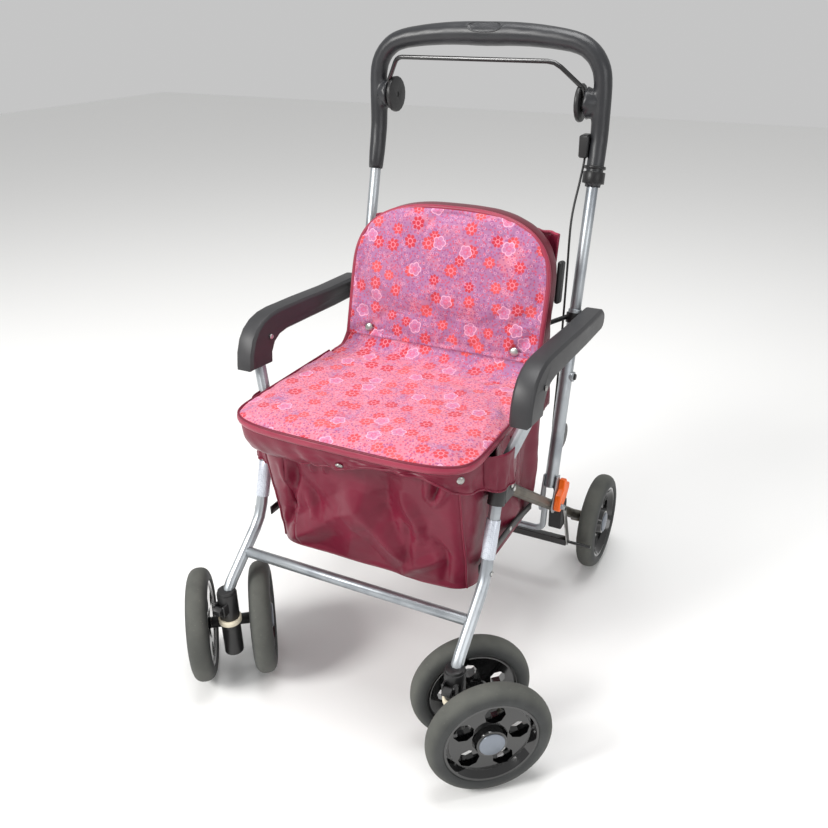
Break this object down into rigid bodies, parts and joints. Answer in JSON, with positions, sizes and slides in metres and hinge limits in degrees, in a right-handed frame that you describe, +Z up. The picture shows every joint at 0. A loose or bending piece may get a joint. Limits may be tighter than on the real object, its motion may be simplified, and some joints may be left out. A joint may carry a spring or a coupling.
{
  "type": "shopping rollator",
  "caption": "Folding walking rollator with a padded seat and backrest, armrests, a raised push handle with a brake rod, twin swivel casters and a shopping bag under the seat.",
  "frame": {"origin": "centre of the bounding box's footprint, on the floor", "axes": "+Z up; -Y is the front, towards the casters; +X is the side with the fold lock"},
  "size_m": [0.567, 0.6412, 0.8487],
  "materials": {
    "silver_tube": "satin anodised",
    "bright_steel": "bright zinc",
    "grey_bar": "satin bronze grey",
    "black_steel": "black powder coat",
    "reflective_film": "retro-reflective film",
    "black_plastic": "moulded, fine grain",
    "gloss_black": "gloss",
    "grip_rubber": "satin soft-touch",
    "arm_plastic": "satin moulded",
    "tyre_rubber": "worn grey rubber",
    "floral_fabric": "quilted printed cotton",
    "burgundy_nylon": "woven nylon with a slight sheen",
    "orange_plastic": "satin"
  },
  "bodies": {
    "chassis": {"lower_tube_L": "silver_tube", "lower_tube_R": "silver_tube", "back_bracket_L": "black_plastic", "back_bracket_R": "black_plastic", "back_frame": "black_steel", "backrest_pad": "floral_fabric", "rear_pocket": "burgundy_nylon", "guide_disc_L": "black_plastic", "guide_disc_R": "black_plastic", "bag": "burgundy_nylon"},
    "handle": {"upper_tube_L": "silver_tube", "upper_tube_R": "silver_tube", "grip": "grip_rubber", "hub_cap_L": "black_plastic", "hub_cap_R": "black_plastic", "cable_block": "black_plastic", "cane_strap": "black_plastic", "brake_cable": "black_plastic"},
    "brake_lever": {"brake_lever": "black_steel"},
    "height_button_L": {"height_button_L": "black_plastic"},
    "height_button_R": {"height_button_R": "black_plastic"},
    "rear_frame": {"side_bar_L": "grey_bar", "side_bar_R": "grey_bar", "rear_cross_tube": "silver_tube", "brake_box_L": "black_plastic", "brake_box_R": "black_plastic"},
    "fold_lock": {"fold_lock": "orange_plastic"},
    "brake_bar": {"brake_bar": "black_steel", "brake_link_L": "bright_steel", "brake_link_R": "bright_steel"},
    "front_frame": {"front_leg_L": "silver_tube", "front_leg_R": "silver_tube", "front_crossbar": "silver_tube", "seat_rail": "silver_tube", "leg_connector_L": "black_plastic", "leg_connector_R": "black_plastic", "reflector_sleeve_L": "reflective_film", "reflector_sleeve_R": "reflective_film", "caster_socket_L": "black_plastic", "caster_socket_R": "black_plastic"},
    "seat": {"seat_board": "black_plastic", "seat_pad": "floral_fabric"},
    "armrest_R": {"armrest_R": "arm_plastic"},
    "swivel_lock_R": {"swivel_lock_R": "black_plastic"},
    "caster_R": {"caster_fork_R": "black_plastic"},
    "wheel_R_outer": {"tyre_R_outer": "tyre_rubber", "hub_R_outer": "gloss_black"},
    "wheel_R_inner": {"tyre_R_inner": "tyre_rubber", "hub_R_inner": "gloss_black"},
    "wheel_rear_R": {"tyre_rear_R": "tyre_rubber", "hub_rear_R": "gloss_black"},
    "armrest_L": {"armrest_L": "arm_plastic"},
    "swivel_lock_L": {"swivel_lock_L": "black_plastic"},
    "caster_L": {"caster_fork_L": "black_plastic"},
    "wheel_L_outer": {"tyre_L_outer": "tyre_rubber", "hub_L_outer": "gloss_black"},
    "wheel_L_inner": {"tyre_L_inner": "tyre_rubber", "hub_L_inner": "gloss_black"},
    "wheel_rear_L": {"tyre_rear_L": "tyre_rubber", "hub_rear_L": "gloss_black"}
  },
  "joints": [
    {"name": "fold", "type": "hinge", "parent": "chassis", "child": "rear_frame", "pos_m": [-0.00505, 0.07618, 0.1982], "axis": [-1, 0, 0], "range_deg": [0, 26], "deforming": ["bag"]},
    {"name": "front_fold", "type": "hinge", "parent": "rear_frame", "child": "front_frame", "pos_m": [-0.00505, -0.10682, 0.3294], "axis": [1, 0, 0], "range_deg": [0, 53.56]},
    {"name": "seat_lift", "type": "hinge", "parent": "chassis", "child": "seat", "pos_m": [-0.00505, 0.03718, 0.386], "axis": [-1, 0, 0], "range_deg": [0, 52]},
    {"name": "handle_height", "type": "slide", "parent": "chassis", "child": "handle", "axis": [0, 0.2551, 0.9669], "range_m": [-0.06, 0.06], "deforming": ["brake_cable"]},
    {"name": "brake_squeeze", "type": "hinge", "parent": "handle", "child": "brake_lever", "pos_m": [-0.00505, 0.21118, 0.749], "axis": [-1, 0, 0], "range_deg": [0, 18], "stiffness_Nm_per_rad": 3, "springref_deg": -11.46},
    {"name": "brake_press", "type": "hinge", "parent": "rear_frame", "child": "brake_bar", "pos_m": [-0.00505, 0.12518, 0.163], "axis": [1, 0, 0], "range_deg": [0, 2.7]},
    {"name": "lock_release", "type": "hinge", "parent": "chassis", "child": "fold_lock", "pos_m": [0.16595, 0.07618, 0.1982], "axis": [-1, 0, 0], "range_deg": [0, 25]},
    {"name": "height_press_R", "type": "slide", "parent": "chassis", "child": "height_button_R", "axis": [-1, 0, 0], "range_m": [0, 0.0025], "stiffness_N_per_m": 400, "springref_m": -0.002},
    {"name": "armrest_R", "type": "hinge", "parent": "chassis", "child": "armrest_R", "pos_m": [0.19165, 0.14737, 0.468], "axis": [-1, 0, 0], "range_deg": [0, 15.6]},
    {"name": "swivel_stop_R", "type": "hinge", "parent": "front_frame", "child": "swivel_lock_R", "pos_m": [0.16595, -0.26792, 0.134], "axis": [1, 0, 0], "range_deg": [0, 25]},
    {"name": "swivel_R", "type": "hinge", "parent": "front_frame", "child": "caster_R", "pos_m": [0.16595, -0.25132, 0.1117], "axis": [0, 0, 1], "continuous": true},
    {"name": "roll_R_outer", "type": "hinge", "parent": "caster_R", "child": "wheel_R_outer", "pos_m": [0.21717, -0.26378, 0.07902], "axis": [0.6361, -0.7716, 0], "continuous": true},
    {"name": "roll_R_inner", "type": "hinge", "parent": "caster_R", "child": "wheel_R_inner", "pos_m": [0.16349, -0.19865, 0.07902], "axis": [0.6361, -0.7716, 0], "continuous": true},
    {"name": "roll_rear_R", "type": "hinge", "parent": "rear_frame", "child": "wheel_rear_R", "pos_m": [0.20095, 0.24158, 0.07902], "axis": [1, 0, 0], "continuous": true},
    {"name": "height_press_L", "type": "slide", "parent": "chassis", "child": "height_button_L", "axis": [1, 0, 0], "range_m": [0, 0.0025], "stiffness_N_per_m": 400, "springref_m": -0.002},
    {"name": "armrest_L", "type": "hinge", "parent": "chassis", "child": "armrest_L", "pos_m": [-0.20175, 0.14737, 0.468], "axis": [-1, 0, 0], "range_deg": [0, 15.6]},
    {"name": "swivel_stop_L", "type": "hinge", "parent": "front_frame", "child": "swivel_lock_L", "pos_m": [-0.17605, -0.26792, 0.134], "axis": [1, 0, 0], "range_deg": [0, 25]},
    {"name": "swivel_L", "type": "hinge", "parent": "front_frame", "child": "caster_L", "pos_m": [-0.17605, -0.25132, 0.1117], "axis": [0, 0, 1], "continuous": true},
    {"name": "roll_L_outer", "type": "hinge", "parent": "caster_L", "child": "wheel_L_outer", "pos_m": [-0.22877, -0.25148, 0.07902], "axis": [0.7986, 0.6018, 0], "continuous": true},
    {"name": "roll_L_inner", "type": "hinge", "parent": "caster_L", "child": "wheel_L_inner", "pos_m": [-0.16137, -0.20068, 0.07902], "axis": [0.7986, 0.6018, 0], "continuous": true},
    {"name": "roll_rear_L", "type": "hinge", "parent": "rear_frame", "child": "wheel_rear_L", "pos_m": [-0.21105, 0.24158, 0.07902], "axis": [1, 0, 0], "continuous": true}
  ],
  "couplings": [
    {"joint": "front_fold", "follows": "fold", "ratio": 2.06},
    {"joint": "seat_lift", "follows": "fold", "ratio": 2},
    {"joint": "armrest_R", "follows": "fold", "ratio": 0.6},
    {"joint": "armrest_L", "follows": "fold", "ratio": 0.6},
    {"joint": "brake_press", "follows": "brake_squeeze", "ratio": 0.15}
  ]
}
